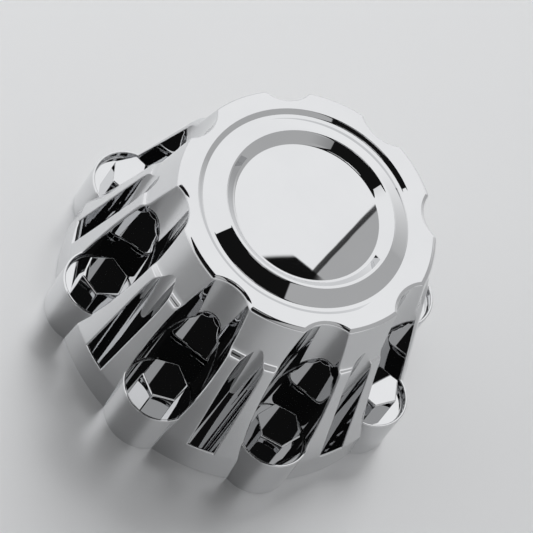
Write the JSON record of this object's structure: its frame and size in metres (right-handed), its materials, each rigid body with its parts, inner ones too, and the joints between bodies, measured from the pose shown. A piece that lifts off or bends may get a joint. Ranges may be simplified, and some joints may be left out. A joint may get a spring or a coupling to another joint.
{
  "type": "center cap",
  "caption": "Tall tapered chrome wheel center cap with a scalloped top, a raised ring around a plain disc, fluted sides and hexagon heads in round wells over the lug circle",
  "frame": {"origin": "centre of the foot, on the plane where the cap sits on the wheel", "axes": "+Z is the wheel's axis and points out of the wheel; one head lies on +X"},
  "size_m": [0.2046, 0.2046, 0.12],
  "materials": {
    "chrome_plating": "bright mirror chrome plating on moulded ABS"
  },
  "bodies": {
    "root": {"center_cap": "chrome_plating"}
  },
  "joints": []
}
